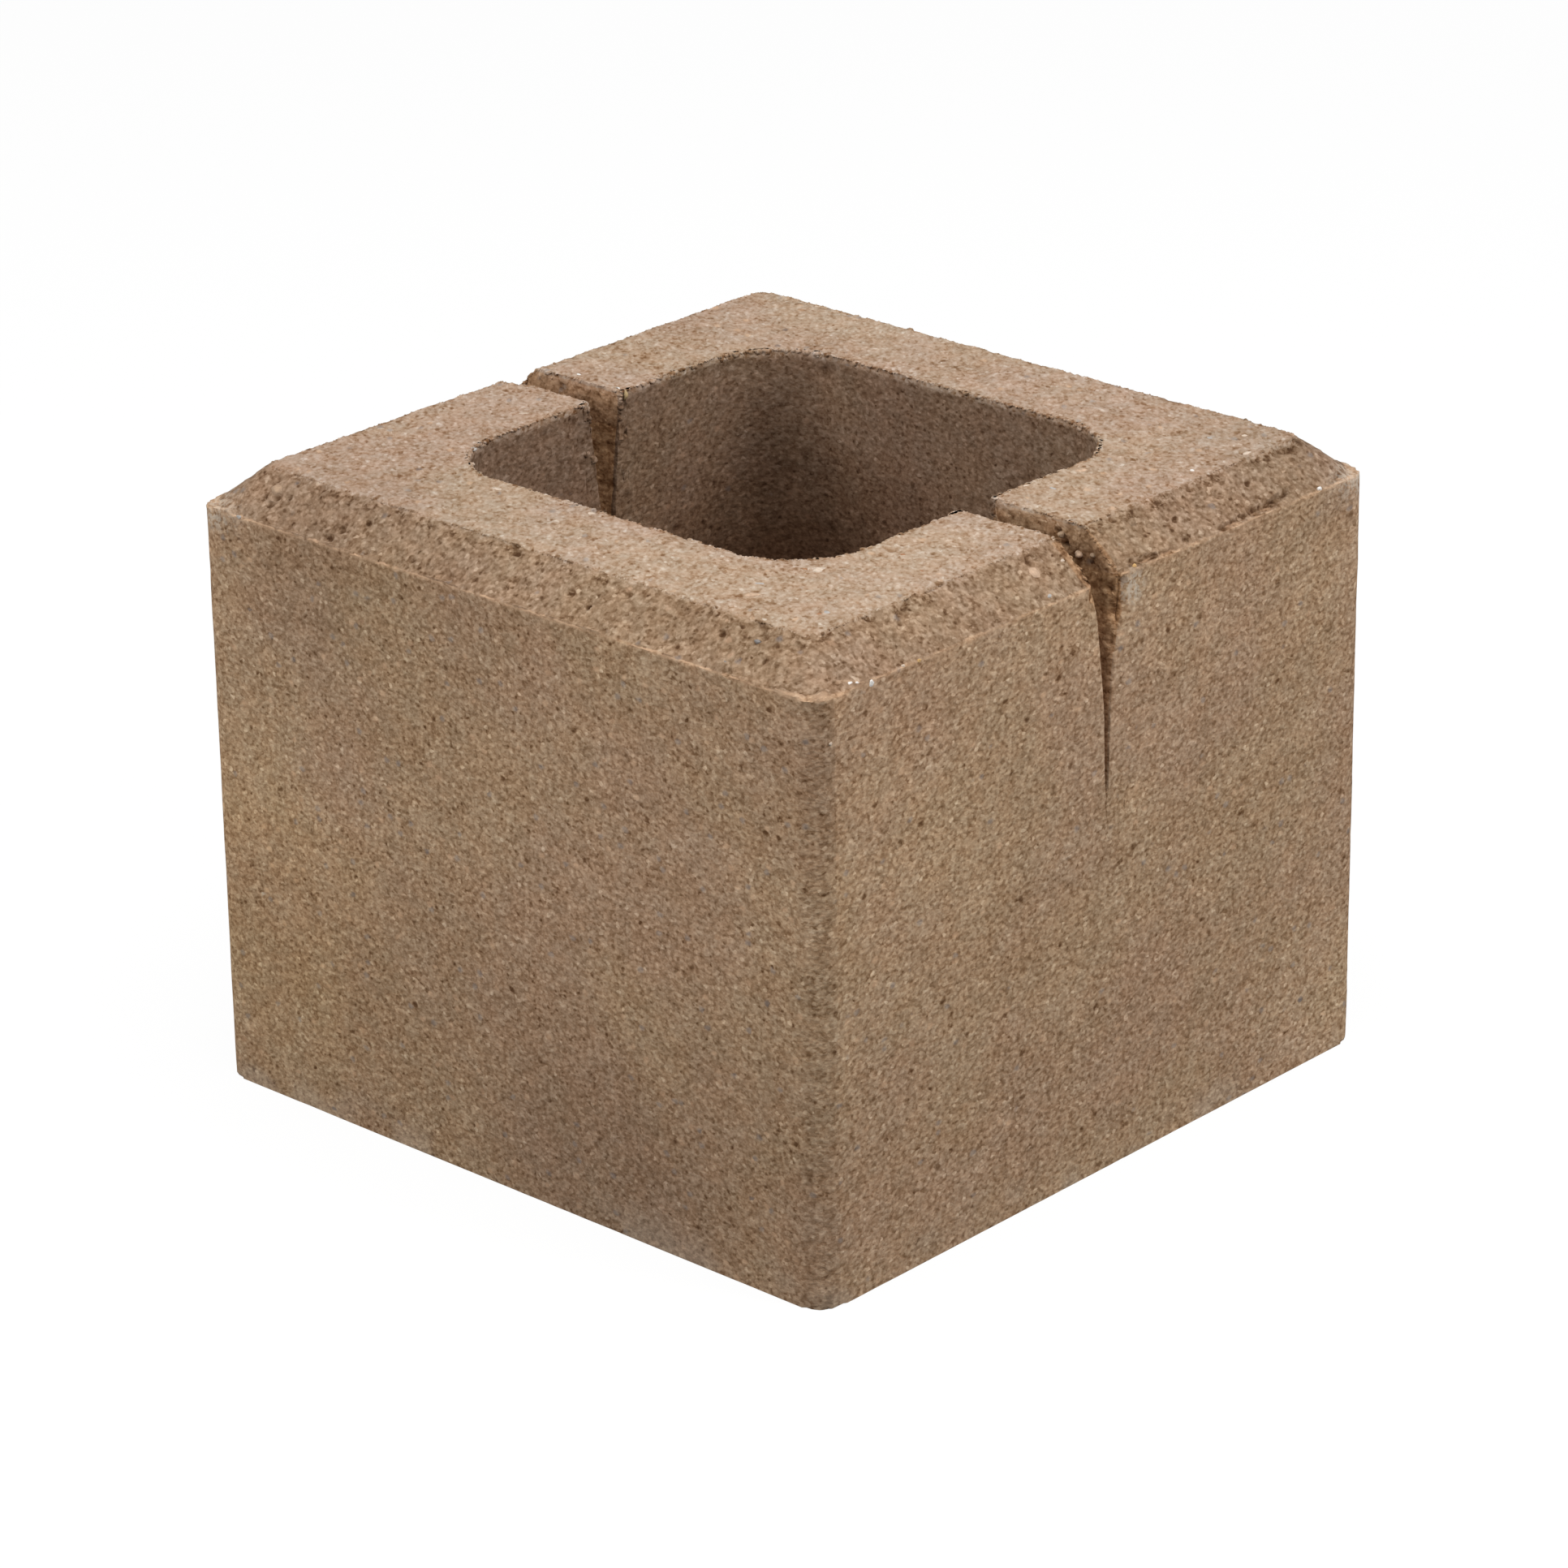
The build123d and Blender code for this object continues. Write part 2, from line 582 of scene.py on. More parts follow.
def remap_y(mesh: bpy.types.Mesh, change: Callable[[np.ndarray], np.ndarray]) -> None:
    """Puts every point's y through a function.

    Args:
        mesh: The mesh, changed in place.
        change: The function of y.
    """
    co = read_vectors(mesh.vertices, "co")
    co[:, 1] = change(co[:, 1])
    mesh.vertices.foreach_set("co", co.astype(np.float32).ravel())
    mesh.update()


def to_mesh(bm: bmesh.types.BMesh, name: str) -> bpy.types.Mesh:
    """Turns a bmesh into a mesh and frees it."""
    mesh = bpy.data.meshes.new(name)
    bm.to_mesh(mesh)
    bm.free()
    return mesh


def placed(name: str, data: bpy.types.ID) -> bpy.types.Object:
    """Makes an object of some data and puts it in the scene."""
    made = bpy.data.objects.new(name, data)
    bpy.context.scene.collection.objects.link(made)
    return made


def baked(holder: bpy.types.Object, name: str) -> bpy.types.Mesh:
    """Applies an object's modifiers and removes the object.

    Args:
        holder: The object whose modifiers are applied.
        name: The new mesh's name.

    Returns:
        The finished mesh.
    """
    depsgraph = bpy.context.evaluated_depsgraph_get()
    mesh = bpy.data.meshes.new_from_object(holder.evaluated_get(depsgraph))
    mesh.name = name
    bpy.data.objects.remove(holder)
    return mesh


@dataclass(frozen=True)
class Cells:
    """What a Voronoi texture says of each place."""

    distance: bpy.types.NodeSocket
    red: bpy.types.NodeSocket
    green: bpy.types.NodeSocket
    blue: bpy.types.NodeSocket


class Sheet:
    """A material's node sheet, with short calls for the nodes used here."""

    def __init__(self, name: str) -> None:
        """Starts a material with an empty sheet.

        Args:
            name: The material's name.
        """
        self.material = bpy.data.materials.new(name)
        self.material.use_nodes = True
        self.tree = self.material.node_tree
        self.tree.nodes.clear()

    @cached_property
    def where(self) -> bpy.types.NodeSocket:
        """The place in the object's own coordinates."""
        return self.node("TexCoord").outputs["Object"]

    @cached_property
    def axes(self) -> tuple[bpy.types.NodeSocket, ...]:
        """That place's three coordinates."""
        return tuple(self.node("SeparateXYZ", Vector=self.where).outputs)

    def node(self, kind: str, **values: object) -> bpy.types.Node:
        """Adds a node and sets its properties or its unlinked inputs.

        Args:
            kind: The node's type name without its ShaderNode head.
            values: Properties, or inputs with spaces written as underscores.

        Returns:
            The node.
        """
        made = self.tree.nodes.new("ShaderNode" + kind)
        for key, value in values.items():
            if hasattr(made, key):
                setattr(made, key, value)
            else:
                self.plug(value, made.inputs[key.replace("_", " ")])
        return made

    def plug(self, value: object, socket: bpy.types.NodeSocket) -> None:
        """Links an output to an input, or sets the input to a plain value."""
        if isinstance(value, bpy.types.NodeSocket):
            self.tree.links.new(value, socket)
        else:
            socket.default_value = value

    def math(self, operation: str, *terms: object) -> bpy.types.NodeSocket:
        """Adds a Math node.

        Args:
            operation: The node's operation.
            terms: Its inputs in order, sockets or numbers.

        Returns:
            Its output.
        """
        made = self.tree.nodes.new("ShaderNodeMath")
        made.operation = operation
        for socket, term in zip(made.inputs, terms):
            self.plug(term, socket)
        return made.outputs[0]

    def times(self, *terms: object) -> object:
        """Multiplies all terms together, in order."""
        product = terms[0]
        for term in terms[1:]:
            product = self.math("MULTIPLY", product, term)
        return product

    def plus(self, start: object, *shares: tuple[object, object]) -> object:
        """Adds values to a start in order, each times its own factor."""
        for value, factor in shares:
            start = self.math("MULTIPLY_ADD", value, factor, start)
        return start

    def less(self, first: object, second: object) -> bpy.types.NodeSocket:
        """Takes the second number from the first."""
        return self.math("SUBTRACT", first, second)

    def absolute(self, value: object) -> bpy.types.NodeSocket:
        """Takes a number's sign away."""
        return self.math("ABSOLUTE", value)

    def stretched(self, where: object, factors: tuple[float, ...]) -> bpy.types.NodeSocket:
        """Multiplies a place's coordinates by three factors."""
        made = self.node("VectorMath", operation="MULTIPLY")
        self.plug(where, made.inputs[0])
        made.inputs[1].default_value = factors
        return made.outputs[0]

    def away_from(self, spot: tuple[float, ...]) -> bpy.types.NodeSocket:
        """Measures the distance from a spot."""
        made = self.node("VectorMath", operation="DISTANCE")
        self.plug(self.where, made.inputs[0])
        made.inputs[1].default_value = spot
        return made.outputs["Value"]

    def surface(
        self, colour: object, height: object, bump: tuple[float, float], roughness: float, gloss: float
    ) -> bpy.types.Material:
        """Ends the sheet in a rough surface.

        Args:
            colour: Its colour.
            height: The height for the bump.
            bump: The bump's strength and depth.
            roughness: The surface's roughness.
            gloss: Its specular level.

        Returns:
            The finished material.
        """
        relief = self.node("Bump", Strength=bump[0], Distance=bump[1], Height=height)
        shader = self.node("BsdfPrincipled", Base_Color=colour, Roughness=roughness)
        shader.inputs["Specular IOR Level"].default_value = gloss
        self.plug(relief.outputs[0], shader.inputs["Normal"])
        output = self.node("OutputMaterial")
        self.plug(shader.outputs[0], output.inputs["Surface"])
        return self.material

    def mix(
        self, share: object, first: object, second: object, blend: str = "MIX"
    ) -> bpy.types.NodeSocket:
        """Mixes two colours.

        Args:
            share: How much of the second shows.
            first: The colour below.
            second: The colour above.
            blend: The way of blending.

        Returns:
            The mixed colour.
        """
        made = self.tree.nodes.new("ShaderNodeMix")
        made.data_type = "RGBA"
        made.blend_type = blend
        for index, value in ((0, share), (6, first), (7, second)):
            self.plug(value, made.inputs[index])
        return made.outputs[2]

    def ramp(self, value: object, *stops: tuple[float, tuple[float, ...]]) -> bpy.types.NodeSocket:
        """Maps a number to colours.

        Args:
            value: The number.
            stops: Places and their colours, in order.

        Returns:
            The colour.
        """
        made = self.tree.nodes.new("ShaderNodeValToRGB")
        self.plug(value, made.inputs[0])
        elements = made.color_ramp.elements
        while len(elements) < len(stops):
            elements.new(0.5)
        for element, (place, colour) in zip(elements, stops):
            element.position = place
            element.color = (*colour, 1.0)
        return made.outputs[0]

    def scale(self, colour: object, factor: object) -> bpy.types.NodeSocket:
        """Multiplies a colour by a number."""
        made = self.node("VectorMath", operation="SCALE")
        self.plug(colour, made.inputs[0])
        self.plug(factor, made.inputs["Scale"])
        return made.outputs[0]

    def noise(
        self, where: object, size: float, detail: float = 2.0, rough: float = 0.5
    ) -> bpy.types.NodeSocket:
        """Adds noise whose lumps are about size across.

        Args:
            where: The coordinates.
            size: The lumps' size.
            detail: How many finer layers it has.
            rough: How strong those layers are.

        Returns:
            The noise, from 0 to 1.
        """
        made = self.node("TexNoise", Vector=where, Scale=1 / size, Detail=detail, Roughness=rough)
        return made.outputs["Fac"]

    def swing(self, where: object, size: float, detail: float = 2.0, rough: float = 0.5) -> object:
        """Adds noise as above that swings about 0."""
        return self.less(self.noise(where, size, detail, rough), 0.5)

    def cells(self, where: object, size: float) -> Cells:
        """Divides space into cells about size across.

        Args:
            where: The coordinates.
            size: The cells' size.

        Returns:
            Each cell's own random numbers and the distance from its middle.
        """
        made = self.node("TexVoronoi", Vector=where, Scale=1 / size, Randomness=1.0)
        own = self.node("SeparateColor", Color=made.outputs["Color"]).outputs
        return Cells(made.outputs["Distance"], own[0], own[1], own[2])

    def ring(self, half: float, corner: float) -> bpy.types.NodeSocket:
        """Measures the distance outside a square with round corners, seen from above.

        Args:
            half: Half the square's width.
            corner: Its corners' radius.

        Returns:
            The distance, negative inside.
        """
        past = [self.less(self.absolute(axis), half - corner) for axis in self.axes[:2]]
        squares = [self.math("POWER", self.math("MAXIMUM", value, 0.0), 2.0) for value in past]
        outside = self.math("SQRT", self.math("ADD", *squares))
        inside = self.math("MINIMUM", self.math("MAXIMUM", *past), 0.0)
        return self.less(self.math("ADD", outside, inside), corner)

    def band(self, value: object, low: float, high: float) -> bpy.types.NodeSocket:
        """Maps a number from low to high smoothly onto 0 to 1, held at the ends."""
        made = self.node("MapRange", interpolation_type="SMOOTHSTEP")
        self.plug(value, made.inputs["Value"])
        self.plug(low, made.inputs["From Min"])
        self.plug(high, made.inputs["From Max"])
        return made.outputs["Result"]


def linear(red: int, green: int, blue: int) -> tuple[float, float, float]:
    """Turns a display colour of 0 to 255 into a linear one."""
    return tuple(
        (v / 255 / 12.92) if v <= 10 else ((v / 255 + 0.055) / 1.055) ** 2.4
        for v in (red, green, blue)
    )


@dataclass(frozen=True)
class TonePatch:
    """A broad darker or paler patch that the photograph shows, in millimetres."""

    place: tuple[float, float, float]
    reach: float
    gain: tuple[float, float, float]
    heart: float = 0.25

    def lay(self, sheet: Sheet, colour: object) -> object:
        """Lays the patch over a colour.

        Args:
            sheet: The material's sheet.
            colour: The colour so far.

        Returns:
            The colour with the patch.
        """
        away = sheet.away_from(tuple(v * MM for v in self.place))
        share = sheet.band(away, self.reach * MM, self.heart * self.reach * MM)
        return sheet.mix(share, colour, rgba(self.gain), "MULTIPLY")


# Round patches where a gain makes the colour darker or paler.
TONE_PATCHES = (
    TonePatch((-105, -125, 62), 75, (1.13, 1.13, 1.04)),
    TonePatch((40, -125, 8), 62, (0.84, 0.84, 0.86)),
    TonePatch((-80, -125, 172), 45, (0.92, 0.92, 0.91)),
    TonePatch((125, -92, 125), 62, (1.10, 1.10, 1.09)),
    TonePatch((125, 112, 8), 60, (1.20, 1.24, 1.26)),
    TonePatch((-45, -122, 190), 80, (0.91, 0.91, 0.90)),
    TonePatch((112, 105, 200), 46, (0.88, 0.88, 0.90)),
)


@dataclass(frozen=True)
class ConcreteTints:
    """Colours of the concrete, and of what is in and on it, and gains that tint its zones and paint
    light and shade on parts of it.
    """

    places: tuple[float, ...] = (0.0, 0.26, 0.5, 0.75, 1.0)
    side: tuple[tuple[float, float, float], ...] = (
        linear(84, 57, 34),
        linear(119, 92, 67),
        linear(148, 122, 97),
        linear(174, 149, 124),
        linear(200, 177, 152),
    )
    top: tuple[tuple[float, float, float], ...] = (
        linear(108, 77, 50),
        linear(137, 110, 86),
        linear(158, 136, 116),
        linear(173, 154, 138),
        linear(192, 178, 165),
    )
    blush: tuple[float, float, float] = (1.045, 0.992, 0.95)
    top_blush: tuple[float, float, float] = (1.03, 0.96, 0.91)
    olive_swing: tuple[float, float, float] = (1.02, 1.03, 0.99)
    rosy_swing: tuple[float, float, float] = (0.98, 0.96, 0.96)
    slate: tuple[float, float, float] = linear(124, 122, 122)
    peach: tuple[float, float, float] = linear(200, 164, 132)
    # Pale fines, lighter also as painted highlight where the fin faces up.
    fines: tuple[float, float, float] = linear(200, 165, 134)
    bloom: tuple[float, float, float] = linear(190, 179, 164)
    top_gain: tuple[float, float, float] = (0.94, 0.94, 0.94)
    chamfer_gain: tuple[float, float, float] = (0.76, 0.76, 0.78)
    # Painted shade on the core walls, darker and redder deep down.
    core_painted_shade_gain: tuple[float, float, float] = (0.54, 0.515, 0.53)
    core_depth_painted_shade_gain: tuple[float, float, float] = (0.30, 0.17, 0.11)
    # Painted shade on the front face towards its foot.
    front_foot_painted_shade: tuple[float, float, float] = (0.88, 0.87, 0.86)
    # Painted light on the upper right face.
    right_head_painted_light: tuple[float, float, float] = (1.08, 1.08, 1.08)
    # Painted shade on the rounded front corner.
    corner_strip_painted_shade: tuple[float, float, float] = (0.92, 0.92, 0.92)
    slot_gain: tuple[float, float, float] = (1.06, 0.95, 0.83)


@dataclass(frozen=True)
class GrainWeights:
    """How much each kind of grain, pore and crumb lightens or darkens the concrete."""

    middle: float = 0.535
    sand: float = 0.30
    dome: float = 0.10
    fine: float = 0.96
    grit: float = 0.14
    zone_grit: tuple[tuple[Zone, float], ...] = (
        (Zone.CHAMFER, 0.26),
        (Zone.TOP, 0.44),
        (Zone.CORE_WALL, 0.12),
        (Zone.SLOT_FLANK, 0.30),
    )
    cloud: float = 0.18
    top_cloud: float = 0.14
    bands: float = 0.14
    # Painted shade inside pores, pits and the hair crack.
    pore_shade: float = -0.37
    # Painted shade in pits, crevices and scars.
    hollow_shade: float = -0.44
    # Brown crumbs, and painted shadow just under the top's outer edge.
    rim_crumbs_and_shadow: float = -0.34
    pale_sand: float = 0.20
    pale_gravel: float = 0.18
    fine_bump: float = 1.3
    grit_bump: float = 1.2


@dataclass(frozen=True)
class ConcreteFinish:
    """Through-coloured pressed concrete, with its grain, pores and bloom."""

    body: BlockBody
    tints: ConcreteTints = ConcreteTints()
    weights: GrainWeights = GrainWeights()
    sand_size: float = 1.05 * MM
    fine_size: float = 1.3 * MM
    grit_size: float = 3.1 * MM
    cloud_size: float = 14 * MM
    band_size: float = 11 * MM
    band_draw: tuple[float, float, float] = (0.14, 0.14, 1.0)
    side_draw: tuple[float, float, float] = (0.82, 0.75, 1.0)
    top_draw: tuple[float, float, float] = (0.66, 0.96, 1.0)
    top_slant: float = math.radians(45)
    pore_size: float = 1.5 * MM
    pore_share: float = 0.40
    gravel_size: float = 2.9 * MM
    pit_share: float = 0.10
    outline_pull: float = 1.2 * MM
    slot_bloom: tuple[float, float, float] = (125 * MM, 12.5 * MM, 183 * MM)
    foot_bloom_share: float = 0.18
    upper_bloom_share: float = 0.62
    crack_top: tuple[float, float] = (1.2 * MM, 128 * MM)
    crack_length: float = 24 * MM
    bump: tuple[float, float] = (0.46, 0.5 * MM)
    roughness: float = 0.92
    gloss: float = 0.2

    def build(self) -> bpy.types.Material:
        """Makes the material.

        Returns:
            The material for the whole block.
        """
        sheet = Sheet("pressed concrete")
        masks = self.zone_masks(sheet)
        tone, height, gravel = self.grains(sheet, masks)
        colour = self.toned(sheet, tone, masks, gravel)
        colour = self.zone_tint(sheet, colour, masks)
        # Painted light and shade on the sides.
        colour = self.painted_side_light_and_shade(sheet, colour)
        for tone_patch in TONE_PATCHES:
            colour = tone_patch.lay(sheet, colour)
        colour = self.bloom(sheet, colour)
        colour = self.fin_line(sheet, colour)
        return sheet.surface(colour, height, self.bump, self.roughness, self.gloss)

    def zone_masks(self, sheet: Sheet) -> dict[Zone, object]:
        """Soft masks of the top, the chamfer, the core and the slots, with ragged borders.

        Args:
            sheet: The material's sheet.

        Returns:
            A mask from 0 to 1 for each of the four zones.
        """
        body = self.body
        inner = body.core_half + 1.0 * MM
        rag = sheet.swing(sheet.where, 5 * MM, 2.0, 0.65)
        x, y, z = (sheet.absolute(axis) for axis in sheet.axes)
        height = sheet.plus(z, (rag, 1.6 * MM))
        past = sheet.plus(sheet.ring(body.top_half, body.top_corner), (rag, 5.5 * MM))
        high = sheet.band(height, body.high.z - 3.2 * MM, body.high.z - 1.4 * MM)
        top = sheet.times(high, sheet.band(past, 1.5 * MM, -0.9 * MM))
        inside = sheet.math("LESS_THAN", sheet.math("MAXIMUM", x, y), inner)
        core = sheet.times(inside, sheet.less(1.0, high))
        above = sheet.band(z, body.shoulder - 0.3 * MM, body.shoulder + 0.6 * MM)
        chamfer = sheet.times(above, sheet.less(1.0, top), sheet.less(1.0, core))
        slot = sheet.times(
            sheet.band(y, 8.4 * MM, 7.6 * MM),
            sheet.math("GREATER_THAN", x, inner),
            sheet.math("LESS_THAN", x, body.high.x - 0.7 * MM),
            sheet.math("LESS_THAN", z, body.high.z - 1.2 * MM),
        )
        return {Zone.TOP: top, Zone.CHAMFER: chamfer, Zone.CORE_WALL: core, Zone.SLOT_FLANK: slot}

    def grains(
        self, sheet: Sheet, masks: dict[Zone, object]
    ) -> tuple[object, object, dict[str, object]]:
        """Works out how light each place is, from pores at 0 to pale grains at 1.

        Args:
            sheet: The material's sheet.
            masks: The zones' masks.

        Returns:
            The tone, the height for the bump, and where each kind of gravel shows.
        """
        weights = self.weights
        drawn = self.drawn_places(sheet, masks)
        sand = sheet.cells(drawn, self.sand_size)
        fine = sheet.swing(drawn, self.fine_size, 1.8, 0.6)
        grit = sheet.swing(drawn, self.grit_size, 2.0, 0.55)
        cloud = sheet.swing(sheet.where, self.cloud_size, 3.0, 0.55)
        bands = sheet.swing(sheet.stretched(sheet.where, self.band_draw), self.band_size)
        gravel, pores = self.gravel(sheet, drawn, masks)
        coarse = sheet.plus(weights.grit, *((masks[zone], more) for zone, more in weights.zone_grit))
        tone = sheet.plus(
            weights.middle,
            (sheet.less(sand.red, 0.5), weights.sand),
            (sheet.less(0.5, sand.distance), weights.dome),
            (fine, weights.fine),
            (grit, coarse),
            (cloud, sheet.plus(weights.cloud, (masks[Zone.TOP], weights.top_cloud))),
            (bands, weights.bands),
            # Pores, pits and the hair crack are darkened as painted shade inside them.
            (sheet.math("MAXIMUM", pores, self.crack(sheet)), weights.pore_shade),
            # Painted shade in the skin's hollows.
            (sheet.node("Attribute", attribute_name=HOLLOW_SHADE).outputs["Fac"], weights.hollow_shade),
            (sheet.node("Attribute", attribute_name=OWN_TONE).outputs["Fac"], 1.0),
            # Crumbs, and painted shadow under the top's outer edge.
            (self.rim_crumbs_and_shadow(sheet), weights.rim_crumbs_and_shadow),
            (sheet.band(sand.green, 0.955, 0.975), weights.pale_sand),
            (gravel[PALE_GRAVEL], weights.pale_gravel),
        )
        height = sheet.plus(sheet.times(fine, weights.fine_bump), (grit, weights.grit_bump))
        return tone, height, gravel

    def drawn_places(self, sheet: Sheet, masks: dict[Zone, object]) -> object:
        """Draws the grain out a little: level on the sides, aslant on the top.

        Args:
            sheet: The material's sheet.
            masks: The zones' masks.

        Returns:
            The drawn coordinates.
        """
        even = sheet.stretched(sheet.where, self.side_draw)
        turned = sheet.node("VectorRotate", Vector=sheet.where, Angle=self.top_slant)
        turned.rotation_type = "Z_AXIS"
        drawn = sheet.stretched(turned.outputs[0], self.top_draw)
        on_top = sheet.math("GREATER_THAN", masks[Zone.TOP], 0.5)
        mixed = sheet.node("Mix", data_type="VECTOR")
        for index, value in ((0, on_top), (4, even), (5, drawn)):
            sheet.plug(value, mixed.inputs[index])
        return mixed.outputs[1]

    def rim_crumbs_and_shadow(self, sheet: Sheet) -> object:
        """Brown crumbs round the core, and a dark band just outside the top's outer edge that is brown
        crumbs and painted shadow under that edge.

        Args:
            sheet: The material's sheet.

        Returns:
            Where the crumbs and the painted shadow lie, from 0 to 1.
        """
        body = self.body
        outer = sheet.absolute(sheet.ring(body.top_half + 2.0 * MM, body.top_corner))
        lip = sheet.absolute(sheet.ring(body.core_half, body.core_corner))
        by_lip = sheet.times(sheet.band(lip, 1.9 * MM, 0.3 * MM), 0.9)
        # Along the outer edge the band is also painted shadow under the top's edge.
        return sheet.times(
            sheet.math("MAXIMUM", sheet.band(outer, 2.6 * MM, 0.6 * MM), by_lip),
            sheet.band(sheet.axes[2], body.high.z - 4 * MM, body.high.z - 2 * MM),
            sheet.band(sheet.noise(sheet.where, 7 * MM, 2.0, 0.6), 0.40, 0.60),
            sheet.band(sheet.noise(sheet.where, 1.8 * MM, 2.0, 0.6), 0.44, 0.58),
        )

    def gravel(
        self, sheet: Sheet, drawn: object, masks: dict[Zone, object]
    ) -> tuple[dict[str, object], object]:
        """Pores, pale grains and slate and peach grains, all of uneven outline.

        Args:
            sheet: The material's sheet.
            drawn: The drawn coordinates.
            masks: The zones' masks.

        Returns:
            Where each kind of gravel shows, and where pores are open, from 0 to 1.
        """
        pull = sheet.node("TexNoise", Vector=drawn, Scale=1 / self.pore_size, Detail=1.0)
        moved = sheet.node("VectorMath", operation="MULTIPLY_ADD")
        for index, value in enumerate((pull.outputs["Color"], (self.outline_pull,) * 3, drawn)):
            sheet.plug(value, moved.inputs[index])
        cluster = sheet.plus(sheet.noise(drawn, 9 * MM, 2.0, 0.6), (masks[Zone.CHAMFER], 0.06))
        share = sheet.band(cluster, 0.34, 0.74)
        holes = sheet.cells(moved.outputs[0], self.pore_size)
        hole = sheet.math("LESS_THAN", holes.red, sheet.times(share, self.pore_share))
        large = sheet.cells(moved.outputs[0], self.gravel_size)
        heart = sheet.band(large.distance, 0.46, 0.16)
        pit = sheet.math("LESS_THAN", large.blue, sheet.times(share, self.pit_share))
        pores = sheet.times(hole, sheet.band(holes.distance, 0.52, 0.16), 0.8)
        kinds = {
            PALE_GRAVEL: sheet.math("GREATER_THAN", large.red, 0.94),
            SLATE_GRAVEL: sheet.math("GREATER_THAN", large.green, 0.965),
            PEACH_GRAVEL: sheet.math("LESS_THAN", large.green, 0.035),
        }
        shown = {name: sheet.times(chosen, heart) for name, chosen in kinds.items()}
        return shown, sheet.math("MAXIMUM", pores, sheet.times(pit, heart))

    def crack(self, sheet: Sheet) -> object:
        """A hair crack that runs on below the right-hand slot.

        Args:
            sheet: The material's sheet.

        Returns:
            Where the crack is open, from 0 to 1.
        """
        x, y, z = sheet.axes
        middle, top = self.crack_top
        wander = sheet.swing(sheet.where, 5 * MM, 2.0, 0.6)
        off = sheet.absolute(sheet.plus(sheet.less(y, middle), (wander, 4 * MM)))
        return sheet.times(
            sheet.band(off, 0.55 * MM, 0.15 * MM),
            sheet.band(z, top + 4 * MM, top),
            sheet.band(z, top - self.crack_length, top),
            sheet.math("GREATER_THAN", x, self.body.high.x - 4 * MM),
        )

    def toned(
        self, sheet: Sheet, tone: object, masks: dict[Zone, object], gravel: dict[str, object]
    ) -> object:
        """Turns tone into colour, with a few slate and peach grains.

        Args:
            sheet: The material's sheet.
            tone: How light each place is.
            masks: The zones' masks.
            gravel: Where each kind of gravel shows.

        Returns:
            The colour.
        """
        tints = self.tints
        side = sheet.ramp(tone, *zip(tints.places, tints.side))
        top = sheet.ramp(tone, *zip(tints.places, tints.top))
        colour = sheet.mix(masks[Zone.TOP], side, top)
        hue = sheet.band(sheet.noise(sheet.where, 8 * MM, 3.0, 0.65), 0.34, 0.66)
        warm = sheet.mix(masks[Zone.TOP], rgba(tints.blush), rgba(tints.top_blush))
        colour = sheet.mix(hue, colour, warm, "MULTIPLY")
        broad = sheet.band(sheet.noise(sheet.where, 55 * MM, 2.0, 0.5), 0.36, 0.64)
        swing = sheet.mix(broad, rgba(tints.olive_swing), rgba(tints.rosy_swing))
        colour = sheet.mix(1.0, colour, swing, "MULTIPLY")
        for name, share, tint in ((SLATE_GRAVEL, 0.40, tints.slate), (PEACH_GRAVEL, 0.45, tints.peach)):
            colour = sheet.mix(sheet.times(gravel[name], share), colour, rgba(tint))
        return colour

    def zone_tint(self, sheet: Sheet, colour: object, masks: dict[Zone, object]) -> object:
        """Tints the top, the chamfer and the slots by their own gains, and darkens the core walls as
        painted shade, darker and redder further down.

        Args:
            sheet: The material's sheet.
            colour: The colour so far.
            masks: The zones' masks.

        Returns:
            The tinted colour.
        """
        tints = self.tints
        # Painted shade in the core, deepening from 10 mm to 110 mm below the top.
        depth = sheet.band(sheet.axes[2], self.body.high.z - 10 * MM, self.body.high.z - 110 * MM)
        gains = {
            Zone.TOP: rgba(tints.top_gain),
            Zone.CHAMFER: rgba(tints.chamfer_gain),
            Zone.CORE_WALL: sheet.mix(depth, rgba(tints.core_painted_shade_gain), rgba(tints.core_depth_painted_shade_gain)),
            Zone.SLOT_FLANK: rgba(tints.slot_gain),
        }
        for zone, gain in gains.items():
            colour = sheet.mix(masks[zone], colour, gain, "MULTIPLY")
        return colour

    def painted_side_light_and_shade(self, sheet: Sheet, colour: object) -> object:
        """Painted light and shade on the mould's sides: painted shade on the front face towards its
        foot and on the rounded front corner, and painted light on the right face's upper part.

        Args:
            sheet: The material's sheet.
            colour: The colour so far.

        Returns:
            The shaded colour.
        """
        x, y, z = sheet.axes
        face = self.body.high.x - 1.5 * MM
        tangent = self.body.high.x - self.body.mould_corner
        below = sheet.math("LESS_THAN", z, self.body.shoulder + 0.5 * MM)
        # Painted shade: the front face darkens from 115 mm down towards its foot.
        foot = (sheet.math("LESS_THAN", y, -face), sheet.band(z, 115 * MM, 45 * MM))
        # Painted light: the right face brightens between 125 and 175 mm.
        head = (
            sheet.math("GREATER_THAN", x, face),
            sheet.band(z, 125 * MM, 175 * MM),
            sheet.math("GREATER_THAN", y, -tangent),
        )
        # Painted shade: the rounded front corner's strip is darker.
        strip = (
            sheet.math("LESS_THAN", y, -tangent),
            sheet.band(y, -124 * MM, -119 * MM),
            sheet.math("GREATER_THAN", x, tangent),
        )
        gains = (self.tints.front_foot_painted_shade, self.tints.right_head_painted_light, self.tints.corner_strip_painted_shade)
        for limits, gain in zip((foot, head, strip), gains):
            colour = sheet.mix(sheet.times(*limits, below), colour, rgba(gain), "MULTIPLY")
        return colour

